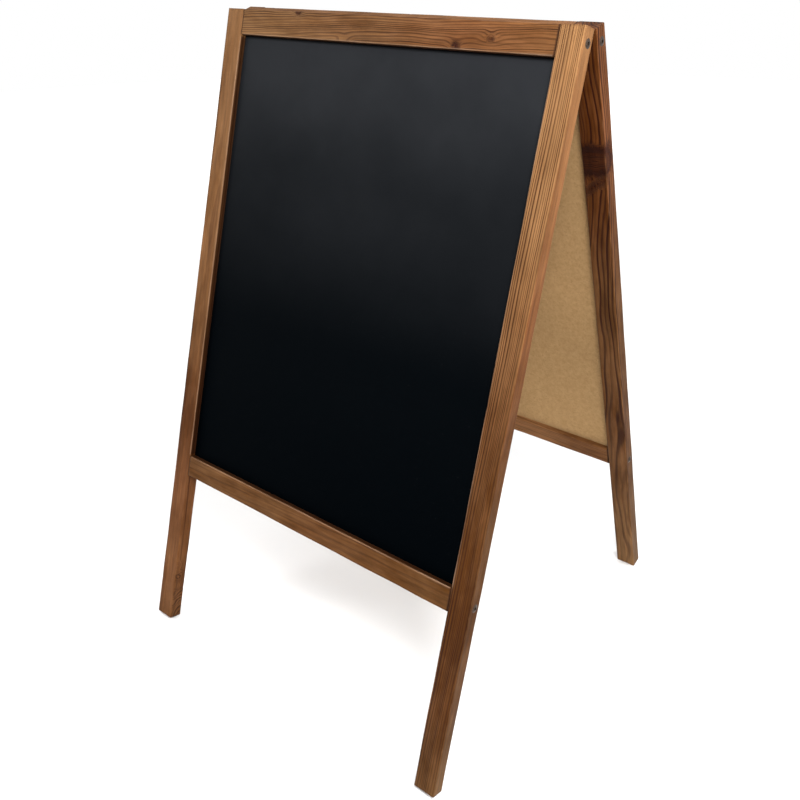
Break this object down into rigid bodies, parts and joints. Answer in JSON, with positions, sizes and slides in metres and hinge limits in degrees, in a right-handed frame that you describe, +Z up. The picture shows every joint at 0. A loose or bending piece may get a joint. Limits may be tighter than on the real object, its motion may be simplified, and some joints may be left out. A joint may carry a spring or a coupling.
{
  "type": "sandwich board",
  "caption": "Folding timber sandwich board: matching frames with black chalk panels, joined at the top by butt hinges.",
  "frame": {"origin": "on the floor, under the middle of the open board's box", "axes": "+Z up, +X along the hinge pins towards the front panel's right-hand side, -Y towards the viewer of the front panel"},
  "size_m": [0.6062, 0.6312, 0.962],
  "materials": {
    "stained_timber": "softwood, brown stain, matt, straight open grain",
    "chalk_hardboard": "hardboard, satin black chalk surface outside and bare brown board inside",
    "dark_screw": "bronzed steel, satin",
    "zinc_screw": "zinc plated, satin",
    "hinge_steel": "zinc plated, satin",
    "hinge_pin": "bare steel, satin"
  },
  "bodies": {
    "front_frame": {"front_left_stile": "stained_timber", "front_right_stile": "stained_timber", "front_top_rail": "stained_timber", "front_bottom_rail": "stained_timber", "front_panel": "chalk_hardboard", "front_side_screws": "dark_screw", "left_hinge_front_leaf": "hinge_steel", "right_hinge_front_leaf": "hinge_steel", "left_hinge_pin": "hinge_pin", "right_hinge_pin": "hinge_pin", "front_leaf_screws": "zinc_screw"},
    "rear_frame": {"rear_left_stile": "stained_timber", "rear_right_stile": "stained_timber", "rear_top_rail": "stained_timber", "rear_bottom_rail": "stained_timber", "rear_panel": "chalk_hardboard", "rear_side_screws": "dark_screw", "left_hinge_rear_leaf": "hinge_steel", "right_hinge_rear_leaf": "hinge_steel", "rear_leaf_screws": "zinc_screw"}
  },
  "joints": [
    {"name": "fold", "type": "hinge", "parent": "front_frame", "child": "rear_frame", "pos_m": [0, 0, 0.9564], "axis": [-1, 0, 0], "range_deg": [0, 34.2]}
  ]
}
